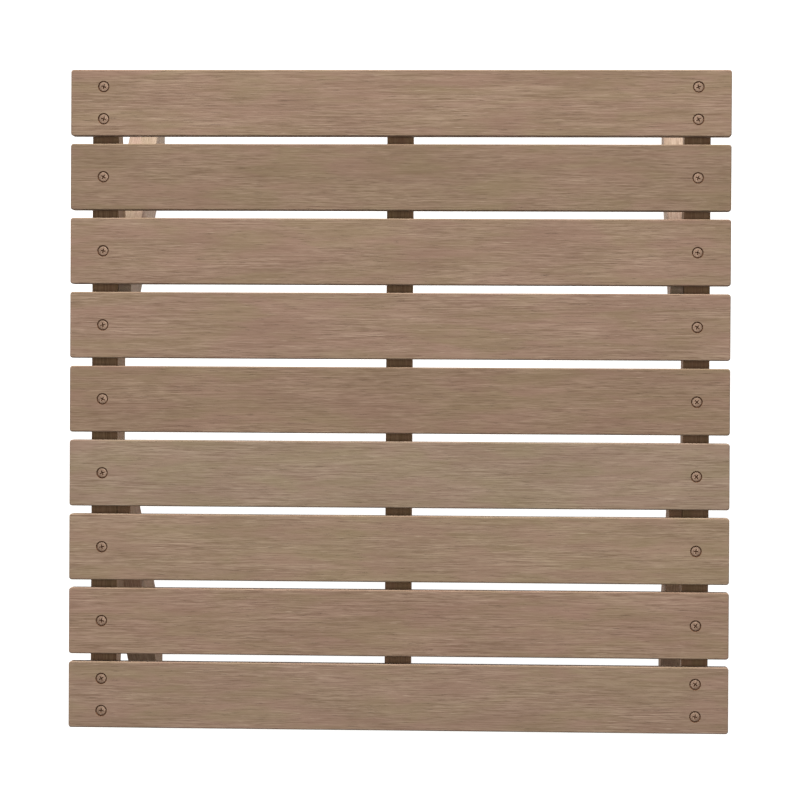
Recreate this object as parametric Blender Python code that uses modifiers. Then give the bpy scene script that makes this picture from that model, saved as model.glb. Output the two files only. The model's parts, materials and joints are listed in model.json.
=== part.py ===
# A low stool with a square slatted top. Nine slats lie on two side rails and a thin centre
# batten, and four splayed legs are lapped to the inner sides of the rails.
# Metres. X runs along the slats, Y across them and Z up from the floor. The origin is on the
# floor, under the centre of the top. "Back" is +Y and "right" is +X.

import math

import bmesh
import bpy

# Whole stool
TOP_LENGTH = 0.500
TOTAL_HEIGHT = 0.210
FIT = 0.0003

# Slats
SLAT_COUNT = 9
SLAT_WIDTH = 0.0504
SLAT_GAP = 0.0058
SLAT_THICKNESS = 0.012
SLAT_CORNER_RADIUS = 0.0018
SLAT_EDGE_RADIUS = 0.0010

# Side rails: full depth between the legs, tapering underneath towards both ends
RAIL_THICKNESS = 0.020
RAIL_DEPTH = 0.041
RAIL_END_DEPTH = 0.013
RAIL_INSET = 0.015
RAIL_END_INSET = 0.004
RAIL_TAPER_CLEARANCE = 0.0005

# Centre batten
BATTEN_WIDTH = 0.020
BATTEN_THICKNESS = 0.012

# Legs: their outer side is housed over the rail, and a tongue runs up behind it to the slats
LEG_WIDTH = 0.046
LEG_THICKNESS = 0.023
LEG_LAP = 0.013
LEG_TOP_OFFSET = 0.041
FOOT_INSET = 0.0024

# Stretchers: boards that lean with the legs, with a stub tenon at each end
STRETCHER_WIDTH = 0.040
STRETCHER_THICKNESS = 0.018
STRETCHER_DROP = 0.071
TENON_WIDTH = 0.028
TENON_THICKNESS = 0.009
TENON_LENGTH = 0.008

# Countersunk screws with a cross recess
HEAD_RADIUS = 0.0035
HEAD_RIM = 0.0004
HEAD_SINK = 0.0005
HEAD_RING = 0.0008
SHANK_RADIUS = 0.00175
POINT_LENGTH = 0.004
RECESS_SPAN = 0.0044
RECESS_SLOT = 0.0010
RECESS_DEPTH = 0.0016
SLAT_SCREW_PAIR = 0.0244
BATTEN_SCREW_COVER = 0.004
LEG_SCREW_PAIR = 0.028
LEG_SCREW_RISE = 0.015
LEG_SCREW_COVER = 0.005

# Making values
BOARD_EDGE_RADIUS = 0.0008
CORNER_SEGMENTS = 3
EDGE_SEGMENTS = 2
CHAMFER_SEGMENTS = 1
SHARP_EDGE = math.radians(30)
TURNED_SIDES = 12
CUT_MARGIN = 0.003
MERGE_DISTANCE = 0.00001

# Places worked out from the sizes
SLAT_PITCH = SLAT_WIDTH + SLAT_GAP
TOP_HALF_WIDTH = (SLAT_COUNT * SLAT_PITCH - SLAT_GAP) / 2
SLAT_UNDERSIDE = TOTAL_HEIGHT - SLAT_THICKNESS
FRAME_TOP = SLAT_UNDERSIDE - FIT
RAIL_UNDERSIDE = FRAME_TOP - RAIL_DEPTH
RAIL_CENTRE_X = TOP_LENGTH / 2 - RAIL_INSET - RAIL_THICKNESS / 2
RAIL_INNER_X = RAIL_CENTRE_X - RAIL_THICKNESS / 2
RAIL_END_Y = TOP_HALF_WIDTH - RAIL_END_INSET
LEG_OUTER_X = RAIL_INNER_X + LEG_LAP
LEG_INNER_X = LEG_OUTER_X - LEG_THICKNESS
TONGUE_THICKNESS = LEG_THICKNESS - LEG_LAP

# The lean puts the toe FOOT_INSET inside the top's edge, from a top end at LEG_TOP_OFFSET.
LEG_SPREAD = TOP_HALF_WIDTH - FOOT_INSET - LEG_TOP_OFFSET
LEG_LEAN = math.acos(LEG_WIDTH / math.hypot(LEG_SPREAD, FRAME_TOP)) - math.atan2(FRAME_TOP, LEG_SPREAD)
LEG_CUT_WIDTH = LEG_WIDTH / math.cos(LEG_LEAN)

SIDES = {"left": -1, "right": 1}
EDGES = {"back": 1, "front": -1}

# A flat outline is drawn in its own XY plane, and this turns it to stand in the YZ plane.
UPRIGHT = (math.pi / 2, 0, math.pi / 2)


# How far from the middle a leg's inner edge is at a height
def leg_inner_y(height):
    return LEG_TOP_OFFSET + (FRAME_TOP - height) * math.tan(LEG_LEAN)


def leg_centre_y(height):
    return leg_inner_y(height) + LEG_CUT_WIDTH / 2


def slat_y(index):
    return ((SLAT_COUNT - 1) / 2 - index) * SLAT_PITCH


def clear_scene():
    for obj in list(bpy.data.objects):
        bpy.data.objects.remove(obj)


def new_collection(name):
    collection = bpy.data.collections.new(name)
    bpy.context.scene.collection.children.link(collection)
    return collection


def new_material(name, color, roughness, metallic=0.0):
    material = bpy.data.materials.new(name)
    material.use_nodes = True
    shader = material.node_tree.nodes["Principled BSDF"]
    shader.inputs["Base Color"].default_value = (*color, 1)
    shader.inputs["Roughness"].default_value = roughness
    shader.inputs["Metallic"].default_value = metallic
    return material


def add_object(name, mesh, collection, location=(0, 0, 0), rotation=(0, 0, 0)):
    obj = bpy.data.objects.new(name, mesh)
    obj.location = location
    obj.rotation_euler = rotation
    collection.objects.link(obj)
    return obj


def add_part(name, mesh, material, location=(0, 0, 0), rotation=(0, 0, 0)):
    if not mesh.materials:
        mesh.materials.append(material)
    return add_object(name, mesh, parts, location, rotation)


def add_cutter(name, mesh, location=(0, 0, 0), rotation=(0, 0, 0)):
    cutter = add_object(name, mesh, cutters, location, rotation)
    cutter.hide_render = True
    cutter.display_type = "WIRE"
    return cutter


def cut(part, cutter, operation="DIFFERENCE"):
    boolean = part.modifiers.new(cutter.name, "BOOLEAN")
    boolean.operation = operation
    boolean.solver = "EXACT"
    boolean.object = cutter


# The mesh that an object's modifiers or its curve make, with the object removed
def bake(obj):
    bpy.context.view_layer.update()
    evaluated = obj.evaluated_get(bpy.context.evaluated_depsgraph_get())
    mesh = bpy.data.meshes.new_from_object(evaluated)
    bpy.data.objects.remove(obj)
    return mesh


def box_mesh(name, size):
    mesh = bpy.data.meshes.new(name)
    bm = bmesh.new()
    bmesh.ops.create_cube(bm, size=1)
    bmesh.ops.scale(bm, vec=size, verts=bm.verts)
    bm.to_mesh(mesh)
    bm.free()
    return mesh


def weld(mesh):
    bm = bmesh.new()
    bm.from_mesh(mesh)
    bmesh.ops.remove_doubles(bm, verts=bm.verts, dist=MERGE_DISTANCE)
    bmesh.ops.dissolve_degenerate(bm, dist=MERGE_DISTANCE, edges=bm.edges)
    bmesh.ops.recalc_face_normals(bm, faces=bm.faces)
    bm.to_mesh(mesh)
    bm.free()


# A board from a flat outline, its thickness along the outline's normal
def outline_mesh(name, points, thickness):
    curve = bpy.data.curves.new(name, "CURVE")
    curve.dimensions = "2D"
    curve.fill_mode = "BOTH"
    curve.extrude = thickness / 2
    spline = curve.splines.new("POLY")
    spline.points.add(len(points) - 1)
    spline.use_cyclic_u = True
    for point, (x, y) in zip(spline.points, points):
        point.co = (x, y, 0, 1)
    mesh = bake(add_object(name, curve, cutters))
    weld(mesh)
    return mesh


def round_edges(mesh, radius, segments, chosen):
    bm = bmesh.new()
    bm.from_mesh(mesh)
    edges = [edge for edge in bm.edges if chosen(edge)]
    bmesh.ops.bevel(bm, geom=edges, offset=radius, segments=segments, profile=0.5, affect="EDGES")
    bm.to_mesh(mesh)
    bm.free()


def is_sharp(edge):
    return edge.calc_face_angle(0) > SHARP_EDGE


def is_upright(edge):
    return abs(edge.verts[0].co.z - edge.verts[1].co.z) > MERGE_DISTANCE


def is_rim(edge):
    return is_sharp(edge) and not is_upright(edge)


def turned_mesh(name, profile, recess=()):
    mesh = bpy.data.meshes.new(name)
    points = [(radius, 0, height) for radius, height in profile]
    mesh.from_pydata(points, [(i, i + 1) for i in range(len(points) - 1)], [])
    obj = add_object(name, mesh, cutters)
    turn = obj.modifiers.new("turn", "SCREW")
    turn.steps = TURNED_SIDES
    turn.render_steps = TURNED_SIDES
    turn.use_merge_vertices = True
    turn.merge_threshold = MERGE_DISTANCE
    turned = bake(obj)
    weld(turned)
    if recess:
        blank = add_object(name, turned, cutters)
        for bar in recess:
            cut(blank, bar)
        turned = bake(blank)
    turned.shade_smooth()
    turned.set_sharp_from_angle(angle=SHARP_EDGE)
    return turned


# Two crossing bars, which sink the driver's recess into the screw heads
def recess_cutters():
    depth = 2 * RECESS_DEPTH
    long_bar = box_mesh("recess_x", (RECESS_SPAN, RECESS_SLOT, depth))
    cross_bar = box_mesh("recess_y", (RECESS_SLOT, RECESS_SPAN, depth))
    return [add_cutter("recess_x", long_bar), add_cutter("recess_y", cross_bar)]


# A screw and the hole it sits in. Both have the head's flat at the origin and point down.
def screw_meshes(name, length, recess):
    screw = [
        (0, 0),
        (HEAD_RADIUS, 0),
        (HEAD_RADIUS, -HEAD_RIM),
        (SHANK_RADIUS, -HEAD_RIM - (HEAD_RADIUS - SHANK_RADIUS)),
        (SHANK_RADIUS, -length + POINT_LENGTH),
        (0, -length),
    ]
    mouth, bore = HEAD_RADIUS + HEAD_RING, SHANK_RADIUS + FIT
    hole = [
        (0, HEAD_SINK + CUT_MARGIN),
        (mouth, HEAD_SINK + CUT_MARGIN),
        (mouth, -HEAD_RIM),
        (bore, -HEAD_RIM - (mouth - bore)),
        (bore, -length + POINT_LENGTH),
        (0, -length - FIT),
    ]
    return turned_mesh(name, screw, recess), turned_mesh(name + "_hole", hole)


# Puts a screw in, and cuts its hole through each piece that it joins.
def drive_screw(name, meshes, head, rotation, joined):
    screw, hole = meshes
    add_part(name, screw, screw_steel, head, rotation)
    hole_cutter = add_cutter(name + "_hole", hole, head, rotation)
    for part in joined:
        cut(part, hole_cutter)


def make_slats():
    slats = []
    for index in range(SLAT_COUNT):
        name = f"slat_{index + 1}"
        mesh = box_mesh(name, (TOP_LENGTH, SLAT_WIDTH, SLAT_THICKNESS))
        round_edges(mesh, SLAT_CORNER_RADIUS, CORNER_SEGMENTS, is_upright)
        round_edges(mesh, SLAT_EDGE_RADIUS, EDGE_SEGMENTS, is_rim)
        height = SLAT_UNDERSIDE + SLAT_THICKNESS / 2
        slats.append(add_part(name, mesh, slat_wood, (0, slat_y(index), height)))
    return slats


def make_rails():
    taper_y = leg_inner_y(RAIL_UNDERSIDE) + LEG_CUT_WIDTH + RAIL_TAPER_CLEARANCE
    half = [
        (RAIL_END_Y, FRAME_TOP),
        (RAIL_END_Y, FRAME_TOP - RAIL_END_DEPTH),
        (taper_y, RAIL_UNDERSIDE),
    ]
    outline = half + [(-y, z) for y, z in reversed(half)]
    rails = {}
    for side, sign in SIDES.items():
        mesh = outline_mesh("rail_" + side, outline, RAIL_THICKNESS)
        round_edges(mesh, BOARD_EDGE_RADIUS, CHAMFER_SEGMENTS, is_sharp)
        rails[side] = add_part("rail_" + side, mesh, rail_wood, (sign * RAIL_CENTRE_X, 0, 0), UPRIGHT)
    return rails


def make_centre_batten():
    mesh = box_mesh("centre_batten", (BATTEN_WIDTH, 2 * RAIL_END_Y, BATTEN_THICKNESS))
    round_edges(mesh, BOARD_EDGE_RADIUS, CHAMFER_SEGMENTS, is_sharp)
    return add_part("centre_batten", mesh, batten_wood, (0, 0, FRAME_TOP - BATTEN_THICKNESS / 2))


# Takes the rail's depth out of the leg's outer side, which leaves the tongue and a shoulder.
def cut_housing(leg, side_sign, edge_sign):
    inner_x = RAIL_INNER_X - FIT
    outer_x = LEG_OUTER_X + CUT_MARGIN
    bottom = RAIL_UNDERSIDE - FIT
    top = FRAME_TOP + CUT_MARGIN
    low_y = leg_inner_y(FRAME_TOP) - LEG_WIDTH
    high_y = leg_inner_y(bottom) + LEG_CUT_WIDTH + LEG_WIDTH
    mesh = box_mesh(leg.name + "_housing", (outer_x - inner_x, high_y - low_y, top - bottom))
    centre = (
        side_sign * (inner_x + outer_x) / 2,
        edge_sign * (low_y + high_y) / 2,
        (bottom + top) / 2,
    )
    cut(leg, add_cutter(leg.name + "_housing", mesh, centre))


def make_legs():
    legs = {}
    foot_y = leg_inner_y(0)
    for edge, edge_sign in EDGES.items():
        outline = [
            (edge_sign * LEG_TOP_OFFSET, FRAME_TOP),
            (edge_sign * (LEG_TOP_OFFSET + LEG_CUT_WIDTH), FRAME_TOP),
            (edge_sign * (foot_y + LEG_CUT_WIDTH), 0),
            (edge_sign * foot_y, 0),
        ]
        for side, side_sign in SIDES.items():
            name = f"leg_{edge}_{side}"
            mesh = outline_mesh(name, outline, LEG_THICKNESS)
            round_edges(mesh, BOARD_EDGE_RADIUS, CHAMFER_SEGMENTS, is_sharp)
            centre_x = side_sign * (LEG_INNER_X + LEG_OUTER_X) / 2
            legs[edge, side] = add_part(name, mesh, leg_wood, (centre_x, 0, 0), UPRIGHT)
            cut_housing(legs[edge, side], side_sign, edge_sign)
    return legs


def make_stretchers(legs):
    height = FRAME_TOP - STRETCHER_DROP
    shoulder_x = LEG_INNER_X - FIT
    for edge, edge_sign in EDGES.items():
        name = "stretcher_" + edge
        place = (0, edge_sign * leg_centre_y(height), height)
        lean = (edge_sign * LEG_LEAN, 0, 0)
        board = box_mesh(name, (2 * shoulder_x, STRETCHER_THICKNESS, STRETCHER_WIDTH))
        round_edges(board, BOARD_EDGE_RADIUS, CHAMFER_SEGMENTS, is_sharp)
        tenon = (2 * (shoulder_x + TENON_LENGTH), TENON_THICKNESS, TENON_WIDTH)
        mortise = tuple(size + 2 * FIT for size in tenon)
        stretcher = add_part(name, board, stretcher_wood, place, lean)
        tenon_mesh = box_mesh(name + "_tenon", tenon)
        cut(stretcher, add_cutter(name + "_tenon", tenon_mesh, place, lean), "UNION")
        mortise_cutter = add_cutter(name + "_mortise", box_mesh(name + "_mortise", mortise), place, lean)
        for side in SIDES:
            cut(legs[edge, side], mortise_cutter)


# Two screws at each end of the outer slats, and one at each end of the others
def drive_slat_screws(slats, rails, recess):
    length = SLAT_THICKNESS - HEAD_SINK + FIT + RAIL_END_DEPTH
    meshes = screw_meshes("slat_screw", length, recess)
    number = 0
    for index, slat in enumerate(slats):
        outer = index in (0, SLAT_COUNT - 1)
        shifts = (SLAT_SCREW_PAIR / 2, -SLAT_SCREW_PAIR / 2) if outer else (0,)
        for side, sign in SIDES.items():
            for shift in shifts:
                number += 1
                head = (sign * RAIL_CENTRE_X, slat_y(index) + shift, TOTAL_HEIGHT - HEAD_SINK)
                drive_screw(f"slat_screw_{number:02d}", meshes, head, (0, 0, 0), (slat, rails[side]))


# One screw into each slat, up through the batten
def drive_batten_screws(slats, batten, recess):
    length = BATTEN_THICKNESS - HEAD_SINK + FIT + SLAT_THICKNESS - BATTEN_SCREW_COVER
    meshes = screw_meshes("batten_screw", length, recess)
    for index, slat in enumerate(slats):
        head = (0, slat_y(index), FRAME_TOP - BATTEN_THICKNESS + HEAD_SINK)
        drive_screw(f"batten_screw_{index + 1}", meshes, head, (math.pi, 0, 0), (batten, slat))


# Two screws through each leg's tongue into the rail, side by side below the slat screws
def drive_leg_screws(legs, rails, recess):
    length = TONGUE_THICKNESS - HEAD_SINK + FIT + RAIL_THICKNESS - LEG_SCREW_COVER
    meshes = screw_meshes("leg_screw", length, recess)
    height = RAIL_UNDERSIDE + LEG_SCREW_RISE
    number = 0
    for (edge, side), leg in legs.items():
        for shift in (LEG_SCREW_PAIR / 2, -LEG_SCREW_PAIR / 2):
            number += 1
            y = EDGES[edge] * (leg_centre_y(height) + shift)
            head = (SIDES[side] * (LEG_INNER_X + HEAD_SINK), y, height)
            rotation = (0, -SIDES[side] * math.pi / 2, 0)
            drive_screw(f"leg_screw_{number}", meshes, head, rotation, (leg, rails[side]))


clear_scene()
parts = new_collection("slatted_stool")
cutters = new_collection("cutters")

slat_wood = new_material("slat_wood", (0.32, 0.215, 0.15), 0.62)
rail_wood = new_material("rail_wood", (0.33, 0.22, 0.155), 0.66)
batten_wood = new_material("batten_wood", (0.31, 0.21, 0.145), 0.66)
leg_wood = new_material("leg_wood", (0.34, 0.23, 0.16), 0.62)
stretcher_wood = new_material("stretcher_wood", (0.33, 0.22, 0.15), 0.64)
screw_steel = new_material("screw_steel", (0.42, 0.36, 0.30), 0.38, 0.9)

all_slats = make_slats()
all_rails = make_rails()
centre_batten = make_centre_batten()
all_legs = make_legs()
make_stretchers(all_legs)
cross_recess = recess_cutters()
drive_slat_screws(all_slats, all_rails, cross_recess)
drive_batten_screws(all_slats, centre_batten, cross_recess)
drive_leg_screws(all_legs, all_rails, cross_recess)
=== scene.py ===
# A low slatted stool in washed brown wood, seen from above on a white studio floor.
# Metres. X runs along the slats, Y across them and Z up from the floor.

import json
import math
import random

import bmesh
import bpy
from mathutils import Matrix, Vector, noise

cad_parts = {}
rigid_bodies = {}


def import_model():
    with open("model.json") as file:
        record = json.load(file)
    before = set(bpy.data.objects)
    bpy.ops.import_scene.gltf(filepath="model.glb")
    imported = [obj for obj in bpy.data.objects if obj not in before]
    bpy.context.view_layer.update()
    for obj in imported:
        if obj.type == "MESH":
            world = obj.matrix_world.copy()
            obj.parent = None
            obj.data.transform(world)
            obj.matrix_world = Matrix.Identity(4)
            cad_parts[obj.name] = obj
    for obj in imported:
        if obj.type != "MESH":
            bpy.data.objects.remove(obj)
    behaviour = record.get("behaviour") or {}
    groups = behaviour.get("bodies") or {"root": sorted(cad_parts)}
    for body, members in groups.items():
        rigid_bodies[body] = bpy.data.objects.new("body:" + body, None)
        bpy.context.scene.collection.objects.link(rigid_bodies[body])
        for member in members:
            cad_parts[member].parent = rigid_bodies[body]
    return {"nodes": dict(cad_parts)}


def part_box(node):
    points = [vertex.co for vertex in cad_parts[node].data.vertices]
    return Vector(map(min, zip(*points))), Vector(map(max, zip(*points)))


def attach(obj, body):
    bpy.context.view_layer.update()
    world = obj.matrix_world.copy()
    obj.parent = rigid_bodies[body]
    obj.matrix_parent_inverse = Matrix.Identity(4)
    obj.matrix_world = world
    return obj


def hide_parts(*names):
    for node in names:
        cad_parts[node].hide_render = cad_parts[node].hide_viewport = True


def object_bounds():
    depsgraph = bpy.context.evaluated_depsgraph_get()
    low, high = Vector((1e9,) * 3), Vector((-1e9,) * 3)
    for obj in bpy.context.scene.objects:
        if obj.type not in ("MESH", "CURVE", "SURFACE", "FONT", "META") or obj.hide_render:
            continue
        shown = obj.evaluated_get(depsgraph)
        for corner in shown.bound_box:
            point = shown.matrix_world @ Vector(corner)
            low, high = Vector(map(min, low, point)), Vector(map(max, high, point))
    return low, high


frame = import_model()
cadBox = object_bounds()
nodeNames = sorted(frame["nodes"])
sides = {"left": -1, "right": 1}
edges = {"back": 1, "front": -1}
alongX, alongY, alongZ = Vector((1, 0, 0)), Vector((0, 1, 0)), Vector((0, 0, 1))
fit = 0.0003  # the gap between touching pieces
mergeDistance = 0.000001  # points of a cut this close are one point
print("stool: frame loaded,", len(nodeNames), "pieces")

stoolPieces = bpy.data.collections.new("stool")
bpy.context.scene.collection.children.link(stoolPieces)
shapers = bpy.data.collections.new("shapers")
bpy.context.scene.collection.children.link(shapers)


# Meshes

def meshFrom(name, bm):
    mesh = bpy.data.meshes.new(name)
    bm.normal_update()
    bm.to_mesh(mesh)
    bm.free()
    return mesh


def placed(name, mesh, matrix=Matrix.Identity(4), home=stoolPieces):
    piece = bpy.data.objects.new(name, mesh)
    home.objects.link(piece)
    piece.matrix_world = matrix
    return piece


def axesMatrix(x, y, z, origin):
    matrix = Matrix((x, y, z)).transposed().to_4x4()
    matrix.translation = origin
    return matrix


def carve(piece, cutters):
    for cutter in cutters:
        cutter.hide_render = True
        boolean = piece.modifiers.new(cutter.name, "BOOLEAN")
        boolean.operation = "DIFFERENCE"
        boolean.solver = "EXACT"
        boolean.material_mode = "TRANSFER"
        boolean.object = cutter
    bpy.context.view_layer.update()
    mesh = bpy.data.meshes.new_from_object(piece.evaluated_get(bpy.context.evaluated_depsgraph_get()))
    bm = bmesh.new()
    bm.from_mesh(mesh)
    bmesh.ops.remove_doubles(bm, verts=bm.verts, dist=mergeDistance)
    bm.to_mesh(mesh)
    bm.free()
    piece.modifiers.clear()
    piece.data = mesh


# A closed turned shape from (radius, height) pairs that start and end on the axis
def turned(name, profile, steps):
    angles = [2 * math.pi * step / steps for step in range(steps)]
    bm = bmesh.new()
    rows = []
    for radius, height in profile:
        if radius:
            ring = [(radius * math.cos(angle), radius * math.sin(angle), height) for angle in angles]
        else:
            ring = [(0, 0, height)]
        rows.append([bm.verts.new(point) for point in ring])
    for upper, lower in zip(rows, rows[1:]):
        for step in range(steps):
            after = step + 1
            corners = [upper[step % len(upper)], lower[step % len(lower)]]
            corners += [lower[after % len(lower)], upper[after % len(upper)]]
            bm.faces.new(dict.fromkeys(corners))
    bmesh.ops.recalc_face_normals(bm, faces=bm.faces)
    return meshFrom(name, bm)


def boxMesh(name, low, high):
    bm = bmesh.new()
    bmesh.ops.create_cube(bm, size=1)
    bmesh.ops.scale(bm, vec=high - low, verts=bm.verts)
    bmesh.ops.translate(bm, vec=(low + high) / 2, verts=bm.verts)
    return meshFrom(name, bm)


def boxOutline(length, width):
    x, y = length / 2, width / 2
    return [(-x, -y), (x, -y), (x, y), (-x, y)]


# Materials

class Nodes:
    def __init__(self, name):
        self.material = bpy.data.materials.new(name)
        self.material.use_nodes = True
        self.tree = self.material.node_tree
        self.shader = self.tree.nodes["Principled BSDF"]

    def put(self, socket, value):
        if isinstance(value, bpy.types.NodeSocket):
            self.tree.links.new(value, socket)
        elif socket.type == "RGBA":
            socket.default_value = (*value, 1)
        else:
            socket.default_value = value

    def add(self, kind, inputs, **settings):
        node = self.tree.nodes.new(kind)
        for key, value in settings.items():
            setattr(node, key, value)
        for key, value in inputs.items():
            self.put(node.inputs[key], value)
        return node

    def set(self, **values):
        for key, value in values.items():
            self.put(self.shader.inputs[key.replace("_", " ")], value)

    def math(self, operation, a, b=0.0):
        return self.add("ShaderNodeMath", {0: a, 1: b}, operation=operation).outputs[0]

    def vectorMath(self, operation, a, b=(0, 0, 0)):
        return self.add("ShaderNodeVectorMath", {0: a, 1: b}, operation=operation)

    def ramp(self, value, low, high, toLow=0.0, toHigh=1.0):
        inputs = {"Value": value, "From Min": low, "From Max": high, "To Min": toLow, "To Max": toHigh}
        return self.add("ShaderNodeMapRange", inputs, interpolation_type="SMOOTHSTEP").outputs[0]

    def mix(self, factor, a, b, blend="MIX"):
        inputs = {0: factor, 6: a, 7: b}
        return self.add("ShaderNodeMix", inputs, data_type="RGBA", blend_type=blend).outputs[2]

    def noise(self, vector, size, detail=2.0, rough=0.5, distortion=0.0):
        scale = tuple(1 / value for value in size)
        inputs = {"Vector": self.vectorMath("MULTIPLY", vector, scale).outputs[0], "Scale": 1.0}
        inputs.update({"Detail": detail, "Roughness": rough, "Distortion": distortion})
        return self.add("ShaderNodeTexNoise", inputs).outputs["Fac"]

    def bump(self, height, depth, strength):
        inputs = {"Height": height, "Strength": strength, "Distance": depth}
        self.put(self.shader.inputs["Normal"], self.add("ShaderNodeBump", inputs).outputs[0])


# Marks in the grain: their size along the board and twice across it, then the noise's
# detail, roughness and distortion
woodMarks = {
    "patches": ((0.055, 0.014, 0.014), 3, 0.5, 0.3),
    "clouds": ((0.10, 0.022, 0.022), 3, 0.55),
    "calm": ((0.07, 0.012, 0.012), 2, 0.5),
    "streaks": ((0.040, 0.0009, 0.0009), 4, 0.6, 0.12),
    "brushing": ((0.012, 0.0005, 0.0005), 3, 0.6),
    "pores": ((0.014, 0.00045, 0.00045),),
    "sway": ((0.22, 0.03, 0.03),),
}

# A "range" is where a mark fades in, from none to full.
woodLook = {
    "dark": (0.165, 0.094, 0.058),
    "light": (0.450, 0.312, 0.224),
    "pink": (0.305, 0.185, 0.132),
    "olive": (0.272, 0.189, 0.110),
    "pore": (0.085, 0.048, 0.030),
    "limed": (0.620, 0.470, 0.350),
    "grainRange": (0.33, 0.67),
    "patchRange": (0.36, 0.64),
    "calmRange": (0.35, 0.65),
    "evenness": (0.28, 0.72),
    "cloudRange": (0.35, 0.7),
    "cloudiness": 0.22,
    "openPoreRange": (0.62, 0.76),
    "openPoreStrength": 0.6,
    "limedPoreRange": (0.36, 0.22),
    "limedPoreStrength": 0.45,
    "endGrainRange": (0.75, 0.95),
    "endGrainStrength": 0.35,
    "logReach": 3.0,
    "pithAside": (0.03, 0.09),
    "pithBelow": (-0.12, -0.05),
    "ringStretch": 0.02,
    "ringSpacing": 0.0055,
    "ringSway": 6.0,
    "ringRise": (0.35, 0.9),
    "ringFall": (1.0, 0.9),
    "ringStrength": 0.12,
    "glossRange": (0.3, 0.7),
    "roughness": (0.90, 0.74),
    "specular": 0.32,
    "poreDepth": 0.8,
    "reliefDepth": 0.00018,
    "reliefStrength": 0.55,
}


# Growth rings round a pith that lies beside and below the board
def growthRings(nodes, board, sway, draw):
    look = woodLook
    pith = (0, draw.uniform(*look["pithAside"]), draw.uniform(*look["pithBelow"]))
    fromPith = nodes.vectorMath("SUBTRACT", board, pith).outputs[0]
    across = nodes.vectorMath("MULTIPLY", fromPith, (look["ringStretch"], 1, 1)).outputs[0]
    radius = nodes.vectorMath("LENGTH", across).outputs["Value"]
    years = nodes.math("MULTIPLY", radius, 1 / look["ringSpacing"])
    years = nodes.math("ADD", years, nodes.math("MULTIPLY", sway, look["ringSway"]))
    season = nodes.math("FRACT", years)
    rise, fall = nodes.ramp(season, *look["ringRise"]), nodes.ramp(season, *look["ringFall"])
    return nodes.math("MULTIPLY", rise, fall)


# From the grain to its calmer patches, clouds and rings
def washedColor(nodes, grain, marks, rings):
    look = woodLook
    color = nodes.mix(nodes.ramp(grain, *look["grainRange"]), look["dark"], look["light"])
    middle = nodes.mix(nodes.ramp(marks["patches"], *look["patchRange"]), look["pink"], look["olive"])
    color = nodes.mix(nodes.ramp(marks["calm"], *look["calmRange"], *look["evenness"]), color, middle)
    clouds = nodes.ramp(marks["clouds"], *look["cloudRange"], 0.0, look["cloudiness"])
    color = nodes.mix(clouds, color, look["dark"])
    return nodes.mix(nodes.math("MULTIPLY", rings, look["ringStrength"]), color, look["dark"])


def darkenEndGrain(nodes, color, normal):
    look = woodLook
    facing = nodes.add("ShaderNodeSeparateXYZ", {0: normal}).outputs[0]
    amount = nodes.math("ABSOLUTE", facing)
    amount = nodes.ramp(amount, *look["endGrainRange"], 0.0, look["endGrainStrength"])
    return nodes.mix(amount, color, look["dark"])


# Each board has its own place in the log. The grain runs along the board's X.
def woodFinish(name, seed, toneAndPaintedLightTint, place):
    look = woodLook
    draw = random.Random(seed)
    nodes = Nodes(name)
    coords = nodes.add("ShaderNodeTexCoord", {})
    turn = {"Rotation": tuple(place.to_3x3().inverted().to_euler())}
    board = nodes.add("ShaderNodeMapping", {"Vector": coords.outputs["Object"], **turn}).outputs[0]
    normal = nodes.add("ShaderNodeMapping", {"Vector": coords.outputs["Normal"], **turn}).outputs[0]
    shift = tuple(draw.uniform(-look["logReach"], look["logReach"]) for _ in range(3))
    log = nodes.vectorMath("ADD", board, shift).outputs[0]
    marks = {mark: nodes.noise(log, *values) for mark, values in woodMarks.items()}
    rings = growthRings(nodes, board, marks["sway"], draw)
    half = [nodes.math("MULTIPLY", marks[mark], 0.5) for mark in ("streaks", "brushing")]
    grain = nodes.math("ADD", *half)
    openPores = nodes.ramp(marks["pores"], *look["openPoreRange"])
    limedPores = nodes.ramp(marks["pores"], *look["limedPoreRange"])

    color = washedColor(nodes, grain, marks, rings)
    openness, liming = look["openPoreStrength"], look["limedPoreStrength"]
    color = nodes.mix(nodes.math("MULTIPLY", openPores, openness), color, look["pore"])
    color = nodes.mix(nodes.math("MULTIPLY", limedPores, liming), color, look["limed"])
    color = darkenEndGrain(nodes, color, normal)
    # The tint multiplies the colour: each board's own tone, plus painted shade on the rails, batten and
    # front legs and painted light on the back legs
    nodes.set(Base_Color=nodes.mix(1.0, color, toneAndPaintedLightTint, "MULTIPLY"), Specular_IOR_Level=look["specular"])
    nodes.set(Roughness=nodes.ramp(grain, *look["glossRange"], *look["roughness"]))
    relief = nodes.math("SUBTRACT", grain, nodes.math("MULTIPLY", openPores, look["poreDepth"]))
    nodes.bump(relief, look["reliefDepth"], look["reliefStrength"])
    return nodes.material


# Painted shade: the wall of a screw hole or recess is painted dark brown to stand in for the shade
# inside it
holeShadeLook = {
    "crumbs": ((0.0008, 0.0008, 0.0008), 3, 0.6),
    "crumbRange": (0.3, 0.7),
    "colors": ((0.095, 0.045, 0.024), (0.250, 0.130, 0.075)),
    "roughness": 0.9,
    "specular": 0.1,
    "relief": (0.0002, 0.5),
}


def holeShadeFinish():
    look = holeShadeLook
    nodes = Nodes("paintedHoleShade")
    coords = nodes.add("ShaderNodeTexCoord", {}).outputs["Object"]
    crumbs = nodes.noise(coords, *look["crumbs"])
    nodes.set(Base_Color=nodes.mix(nodes.ramp(crumbs, *look["crumbRange"]), *look["colors"]))
    nodes.set(Roughness=look["roughness"], Specular_IOR_Level=look["specular"])
    nodes.bump(crumbs, *look["relief"])
    return nodes.material


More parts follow.
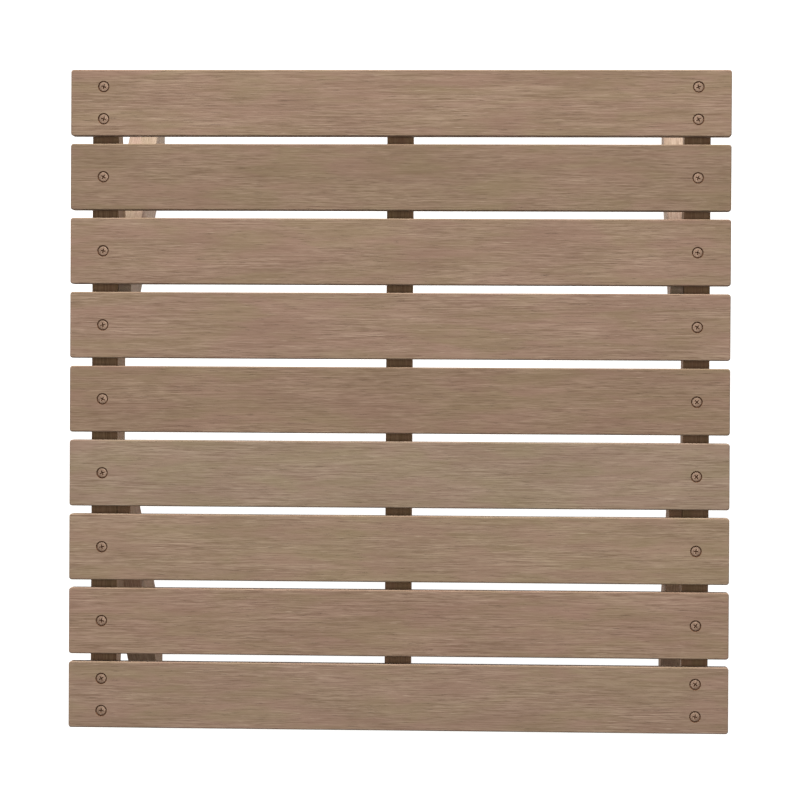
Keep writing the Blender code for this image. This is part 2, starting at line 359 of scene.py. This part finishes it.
steelLook = {
    "wear": ((0.0011, 0.0011, 0.0011), 4, 0.6),
    "wearRange": (0.35, 0.7),
    "colors": ((0.230, 0.140, 0.092), (0.400, 0.280, 0.200)),
    "metallic": 0.55,
    "glossRange": (0.3, 0.7),
    "roughness": (0.62, 0.45),
    "scratches": ((0.0003, 0.0016, 0.0016), 3, 0.6),
    "relief": (0.00004, 0.3),
}


def steelFinish():
    look = steelLook
    nodes = Nodes("dullSteel")
    coords = nodes.add("ShaderNodeTexCoord", {}).outputs["Object"]
    wear = nodes.noise(coords, *look["wear"])
    nodes.set(Base_Color=nodes.mix(nodes.ramp(wear, *look["wearRange"]), *look["colors"]))
    nodes.set(Metallic=look["metallic"])
    nodes.set(Roughness=nodes.ramp(wear, *look["glossRange"], *look["roughness"]))
    nodes.bump(nodes.noise(coords, *look["scratches"]), *look["relief"])
    return nodes.material


# Boards: a flat outline in the board's own XY, its length along X, with rounded edges

boardLook = {
    "roundSteps": 4,
    "sharpAngle": math.radians(30),
    "stationGap": 0.0125,
    "sliceTolerance": 1e-7,
    "wave": (0.11, 0.05, 0.05),
    "waveStep": (7.3, 0, 1),
    "waveLayer": 11,
}


def roundEdges(bm, chosen, radius):
    steps = boardLook["roundSteps"]
    bmesh.ops.bevel(bm, geom=chosen, offset=radius, segments=steps, profile=0.5, affect="EDGES")


def boardMesh(name, outline, thickness, rounding, cornerRadius=0.0):
    bm = bmesh.new()
    face = bm.faces.new([bm.verts.new((x, y, -thickness / 2)) for x, y in outline])
    raised = bmesh.ops.extrude_face_region(bm, geom=[face])["geom"]
    moved = [item for item in raised if isinstance(item, bmesh.types.BMVert)]
    bmesh.ops.translate(bm, vec=(0, 0, thickness), verts=moved)
    bmesh.ops.recalc_face_normals(bm, faces=bm.faces)
    if cornerRadius:
        upright = [edge for edge in bm.edges if edge.verts[0].co.xy == edge.verts[1].co.xy]
        roundEdges(bm, upright, cornerRadius)
    sharp = [edge for edge in bm.edges if edge.calc_face_angle(0) > boardLook["sharpAngle"]]
    roundEdges(bm, sharp, rounding)
    return meshFrom(name, bm)


# Sanding by hand leaves no face dead straight. Each point moves a little, only inwards.
def sandFaces(mesh, depth, seed):
    look = boardLook
    bm = bmesh.new()
    bm.from_mesh(mesh)
    half = [max(abs(vert.co[axis]) for vert in bm.verts) for axis in range(3)]
    count = max(2, round(2 * half[0] / look["stationGap"]))
    for index in range(1, count):
        station = (half[0] * (2 * index / count - 1), 0, 0)
        geometry = bm.verts[:] + bm.edges[:] + bm.faces[:]
        slicing = {"plane_co": station, "plane_no": alongX, "dist": look["sliceTolerance"]}
        bmesh.ops.bisect_plane(bm, geom=geometry, **slicing)
    for vert in bm.verts:
        place = Vector(vert.co[axis] / look["wave"][axis] for axis in range(3))
        place += Vector(seed * step for step in look["waveStep"])
        for axis in (1, 2):
            wave = 0.5 + 0.5 * noise.noise(place + axis * look["waveLayer"] * alongY)
            vert.co[axis] -= depth / axis * wave * vert.co[axis] / half[axis]
    bm.to_mesh(mesh)
    bm.free()


def finishPiece(piece, name):
    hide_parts(name)
    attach(piece, "root")


# The board's turn goes into its mesh, so its box is the board's own.
def finishBoard(name, mesh, place, finish, cutters):
    mesh.transform(place.to_3x3().to_4x4())
    mesh.materials.append(finish)
    board = placed(name + "_fine", mesh, Matrix.Translation(place.translation))
    if cutters:
        carve(board, cutters)
    board.data.shade_smooth()
    board.data.set_sharp_from_angle(angle=boardLook["sharpAngle"])
    weighted = board.modifiers.new("evenNormals", "WEIGHTED_NORMAL")
    weighted.keep_sharp = True
    finishPiece(board, name)


# Screws

screwLook = {
    "steps": 40,
    "rim": 0.0004,
    "edgeRound": 0.0002,
    "edgeBend": 0.3,
    "sink": 0.0005,
    "ringGap": 0.0008,
    "holeChamfer": 0.00015,
    "holeRise": 0.003,
    "shankRadius": 0.00175,
    "pointLength": 0.004,
    "recessSpan": 0.0044,
    "recessSlot": 0.0010,
    "recessDepth": 0.0016,
    "recessTaper": 0.7,
    "recessCore": 0.0009,
    "spinSeed": 4,
}


# Both have the head's flat at the origin and point down.
def screwProfile(head, length):
    look = screwLook
    shank, rounding = look["shankRadius"], look["edgeRound"]
    bend = look["edgeBend"] * rounding
    top = [(0, 0), (head - rounding, 0), (head - bend, -bend), (head, -rounding)]
    cone = [(head, -look["rim"]), (shank, -look["rim"] - head + shank)]
    return top + cone + [(shank, look["pointLength"] - length), (0, -length)]


def holeProfile(head, length):
    look = screwLook
    mouth, bore, chamfer = head + look["ringGap"], look["shankRadius"] + fit, look["holeChamfer"]
    clear = look["sink"] + look["holeRise"]
    top = [(0, clear), (mouth + chamfer, clear), (mouth + chamfer, look["sink"])]
    top.append((mouth, look["sink"] - chamfer))
    cone = [(mouth, -look["rim"]), (bore, -look["rim"] - mouth + bore)]
    return top + cone + [(bore, look["pointLength"] - length), (0, -length - fit)]


# Two crossing bars and a cone between them, narrower towards the bottom
def recessCutters():
    look = screwLook
    half = Vector((look["recessSpan"], look["recessSlot"], 2 * look["recessDepth"])) / 2
    cutters = []
    for turn in range(2):
        bar = boxMesh("recessBar", -half, half)
        for vert in bar.vertices:
            if vert.co.z < 0:
                vert.co.x *= look["recessTaper"]
                vert.co.y *= look["recessTaper"]
        quarter = Matrix.Rotation(turn * math.pi / 2, 4, "Z")
        cutters.append(placed(f"recessBar_{turn}", bar, quarter, shapers))
    core, depth = look["recessCore"], look["recessDepth"]
    cone = [(0, depth), (core, depth), (core * look["recessTaper"], -depth), (0, -depth - core / 2)]
    cutters.append(placed("recessCore", turned("recessCore", cone, look["steps"] // 2), home=shapers))
    # The recess walls are painted dark as painted shade
    for cutter in cutters:
        cutter.data.materials.append(paintedHoleShade)
    return cutters


# The way the screw points
def driveAxis(name):
    if name.startswith("slat_screw"):
        return -alongZ
    if name.startswith("batten_screw"):
        return alongZ
    low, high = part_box(name)
    return alongX if low.x + high.x > 0 else -alongX


def screwPlace(name):
    low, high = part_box(name)
    drive = driveAxis(name)
    head = (low + high) / 2 - drive * abs((high - low).dot(drive)) / 2
    x = alongY.cross(-drive)
    return axesMatrix(x, (-drive).cross(x), -drive, head)


screwNames = [name for name in nodeNames if "_screw_" in name]
steel, paintedHoleShade = steelFinish(), holeShadeFinish()
screwMeshes, holeMeshes = {}, {}
spin = random.Random(screwLook["spinSeed"])
for name in screwNames:
    kind = name.rsplit("_", 1)[0]
    if kind not in screwMeshes:
        low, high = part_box(name)
        head, length = min(high - low) / 2, max(high - low)
        blank = placed(kind, turned(kind, screwProfile(head, length), screwLook["steps"]), home=shapers)
        blank.data.materials.append(steel)
        carve(blank, recessCutters())
        screwMeshes[kind] = blank.data
        screwMeshes[kind].shade_smooth()
        screwMeshes[kind].set_sharp_from_angle(angle=boardLook["sharpAngle"])
        # The hole's walls are painted dark as painted shade, and each cut carries it into the board
        holeMeshes[kind] = turned(kind + "_hole", holeProfile(head, length), screwLook["steps"])
        holeMeshes[kind].materials.append(paintedHoleShade)
    turn = Matrix.Rotation(spin.uniform(0, math.pi / 2), 4, "Z")
    finishPiece(placed(name + "_fine", screwMeshes[kind], screwPlace(name) @ turn), name)
print("stool: screws driven,", len(screwNames))


# Cutters for the screws that reach into a box
def holesIn(low, high, kinds):
    found = []
    for name in screwNames:
        screwLow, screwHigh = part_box(name)
        reaches = all(screwLow[axis] < high[axis] and screwHigh[axis] > low[axis] for axis in range(3))
        if reaches and name.startswith(kinds):
            hole = holeMeshes[name.rsplit("_", 1)[0]]
            found.append(placed(name + "_cut", hole, screwPlace(name), shapers))
    return found


# Slats

slatLook = {
    "rounding": 0.0010,
    "cornerRadius": 0.0021,
    "sanding": 0.00014,
    "seed": 11,
    "toneAndPaintedLightTints": (
        (0.93, 0.95, 0.95), (0.82, 0.84, 0.82), (0.94, 0.96, 0.97),
        (0.96, 0.98, 1.00), (0.88, 0.89, 0.88), (0.98, 1.07, 1.10),
        (1.00, 1.06, 1.05), (0.99, 1.00, 1.02), (0.99, 1.03, 1.05),
    ),
}

for index, toneAndPaintedLightTint in enumerate(slatLook["toneAndPaintedLightTints"]):
    name = f"slat_{index + 1}"
    low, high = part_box(name)
    size = high - low
    outline = boxOutline(size.x, size.y)
    mesh = boardMesh(name, outline, size.z, slatLook["rounding"], slatLook["cornerRadius"])
    place = Matrix.Translation((low + high) / 2)
    holes = holesIn(low, high, ("slat_screw", "batten_screw"))
    sandFaces(mesh, slatLook["sanding"], index)
    finish = woodFinish(name + "_wood", slatLook["seed"] + index, toneAndPaintedLightTint, place)
    finishBoard(name, mesh, place, finish, holes)
print("stool: slats laid")


# Side rails and centre batten

railLook = {
    "rounding": 0.0006,
    "endDepth": 0.013,
    "sanding": 0.00010,
    "sandSeed": 20,
    "seed": 31,
    # The tint darkens and warms the rails and the batten: partly their own tone, partly painted shade
    # for the shade under the top
    "toneAndPaintedLightTint": (0.78, 0.71, 0.56),
}

battenLook = {**railLook, "sandSeed": 25, "seed": 37}


# How far from the middle a rail keeps its full depth, from its own lowest points
def fullDepthLength(name):
    low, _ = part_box(name)
    return max(vert.co.y for vert in frame["nodes"][name].data.vertices if vert.co.z < low.z + fit)


for side, sign in sides.items():
    name = "rail_" + side
    low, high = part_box(name)
    size = high - low
    taper, end, top = fullDepthLength(name), size.y / 2, size.z / 2
    half = [(taper, -top), (end, top - railLook["endDepth"]), (end, top)]
    outline = half + [(-y, z) for y, z in reversed(half)]
    mesh = boardMesh(name, outline, size.x, railLook["rounding"])
    place = axesMatrix(alongY, alongZ, alongX, (low + high) / 2)
    sandFaces(mesh, railLook["sanding"], railLook["sandSeed"] + sign)
    finish = woodFinish(name + "_wood", railLook["seed"] + sign, railLook["toneAndPaintedLightTint"], place)
    finishBoard(name, mesh, place, finish, holesIn(low, high, "slat_screw"))

name = "centre_batten"
low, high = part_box(name)
size = high - low
mesh = boardMesh(name, boxOutline(size.y, size.x), size.z, battenLook["rounding"])
place = axesMatrix(alongY, -alongX, alongZ, (low + high) / 2)
sandFaces(mesh, battenLook["sanding"], battenLook["sandSeed"])
finish = woodFinish(name + "_wood", battenLook["seed"], battenLook["toneAndPaintedLightTint"], place)
finishBoard(name, mesh, place, finish, holesIn(low, high, "batten_screw"))
print("stool: rails and batten fitted")


# Legs

legLook = {
    "width": 0.046,
    "rounding": 0.0008,
    "sanding": 0.00010,
    "seed": 41,
    # The back legs' tint lightens them as painted light from the window lamp; the front legs' tint
    # darkens and warms them as painted shade
    "toneAndPaintedLightTints": {"back": (0.98, 1.07, 1.14), "front": (0.79, 0.70, 0.56)},
}


# The lean that makes a board of the leg's width fill its box
def leanOf(low, high):
    drop, spread = high.z - low.z, high.y - low.y
    return math.acos(legLook["width"] / math.hypot(spread, drop)) - math.atan2(drop, spread)


# The space that the rail takes out of the leg's outer side
def housing(name, low, high, side):
    railLow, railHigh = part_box("rail_" + side)
    past = legLook["width"]
    start = Vector((railLow.x - fit, low.y - past, railLow.z - fit))
    end = Vector((railHigh.x + fit, high.y + past, high.z + past))
    return placed(name + "_housing", boxMesh(name, start, end), home=shapers)


def cutLeg(name, side, edgeSign, toneAndPaintedLightTint, seed):
    low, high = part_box(name)
    lean = leanOf(low, high)
    innerY, toeY = (low.y, high.y) if edgeSign > 0 else (high.y, low.y)
    cutWidth = edgeSign * legLook["width"] / math.cos(lean)
    down = Vector((0, edgeSign * math.sin(lean), -math.cos(lean)))
    place = axesMatrix(down, alongX.cross(down), alongX, (low + high) / 2)
    corners = [(innerY, high.z), (innerY + cutWidth, high.z), (toeY, low.z), (toeY - cutWidth, low.z)]
    flat = [place.inverted() @ Vector((place.translation.x, y, z)) for y, z in corners]
    mesh = boardMesh(name, [point[:2] for point in flat], high.x - low.x, legLook["rounding"])
    sandFaces(mesh, legLook["sanding"], seed)
    finish = woodFinish(name + "_wood", seed, toneAndPaintedLightTint, place)
    cutter = housing(name, low, high, side)
    cutter.data.materials.append(finish)
    cutters = [cutter] + holesIn(low, high, "leg_screw")
    finishBoard(name, mesh, place, finish, cutters)


for edge, edgeSign in edges.items():
    for side, sideSign in sides.items():
        seed = legLook["seed"] + 2 * edgeSign + sideSign
        cutLeg(f"leg_{edge}_{side}", side, edgeSign, legLook["toneAndPaintedLightTints"][edge], seed)
print("stool: legs housed over the rails")


# Stretchers

stretcherLook = {
    "width": 0.040,
    "thickness": 0.018,
    "rounding": 0.0008,
    "sanding": 0.00010,
    "sandSeed": 40,
    "seed": 51,
    "toneAndPaintedLightTint": (1.0, 1.0, 1.0),
}

for edge, edgeSign in edges.items():
    name = "stretcher_" + edge
    low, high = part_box(name)
    legLow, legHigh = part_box(f"leg_{edge}_right")
    lean = leanOf(legLow, legHigh)
    upward = Vector((0, -edgeSign * math.sin(lean), math.cos(lean)))
    outline = boxOutline(2 * (legLow.x - fit), stretcherLook["width"])
    look = stretcherLook
    mesh = boardMesh(name, outline, look["thickness"], look["rounding"])
    place = axesMatrix(alongX, upward, alongX.cross(upward), (low + high) / 2)
    sandFaces(mesh, look["sanding"], look["sandSeed"] + edgeSign)
    finish = woodFinish(name + "_wood", look["seed"] + edgeSign, look["toneAndPaintedLightTint"], place)
    finishBoard(name, mesh, place, finish, ())
print("stool: stretchers set")

for shaper in list(shapers.objects):
    bpy.data.objects.remove(shaper)


# Studio: floor, lights and camera

studio = {
    "floorSize": 60.0,
    "floorColor": (0.40, 0.40, 0.40),
    "floorGlow": 0.95,
    "worldStrength": 0.05,
    "keyColor": (1.0, 0.985, 0.965),
    "keyPower": 252.0,
    "keyPlace": (-0.2, 3.25, 1.6),
    "keySize": (2.8, 1.4),
    "topColor": (1.0, 0.995, 0.99),
    "topPower": 44.0,
    "topPlace": (0.1, 0.0, 3.4),
    "topSize": (2.0, 2.0),
    "lightTarget": (0, 0, 0.1),
    "cameraOffset": (0.112, 0.019, 2.27),
    "aimOffset": (0.0014, 0.0004),
    "lens": 135.3,
    "sensorWidth": 36,
    "roll": math.radians(0.3),
}


def layFloor():
    bm = bmesh.new()
    bmesh.ops.create_grid(bm, x_segments=1, y_segments=1, size=studio["floorSize"] / 2)
    floor = placed("floor", meshFrom("floor", bm), home=bpy.context.scene.collection)
    nodes = Nodes("whiteFloor")
    nodes.set(Base_Color=studio["floorColor"], Roughness=0.9, Specular_IOR_Level=0.05)
    nodes.set(Emission_Color=(1, 1, 1), Emission_Strength=studio["floorGlow"])
    floor.data.materials.append(nodes.material)


def hangLight(name, kind):
    place = studio[kind + "Place"]
    light = bpy.data.lights.new(name, "AREA")
    light.shape = "RECTANGLE"
    light.size, light.size_y = studio[kind + "Size"]
    light.energy = studio[kind + "Power"]
    light.color = studio[kind + "Color"]
    lamp = bpy.data.objects.new(name, light)
    bpy.context.scene.collection.objects.link(lamp)
    direction = Vector(studio["lightTarget"]) - Vector(place)
    lamp.location = place
    lamp.rotation_euler = direction.to_track_quat("-Z", "Y").to_euler()


def lightWorld():
    world = bpy.data.worlds.new("studio")
    world.use_nodes = True
    background = world.node_tree.nodes["Background"]
    background.inputs["Color"].default_value = (1, 1, 1, 1)
    background.inputs["Strength"].default_value = studio["worldStrength"]
    bpy.context.scene.world = world


def setCamera(target):
    camera = bpy.data.objects.new("camera", bpy.data.cameras.new("camera"))
    camera.data.sensor_width = studio["sensorWidth"]
    camera.data.lens = studio["lens"]
    bpy.context.scene.collection.objects.link(camera)
    offset = Vector(studio["cameraOffset"])
    back = offset.normalized()
    right = alongY.cross(back).normalized()
    roll = Matrix.Rotation(studio["roll"], 4, "Z")
    camera.matrix_world = axesMatrix(right, back.cross(right), back, target + offset) @ roll
    bpy.context.scene.camera = camera


layFloor()
hangLight("window", "key")
hangLight("overhead", "top")
lightWorld()
bpy.context.scene.view_settings.view_transform = "Standard"
setCamera(Vector((*studio["aimOffset"], cadBox[1][2])))
print("stool: studio lit")
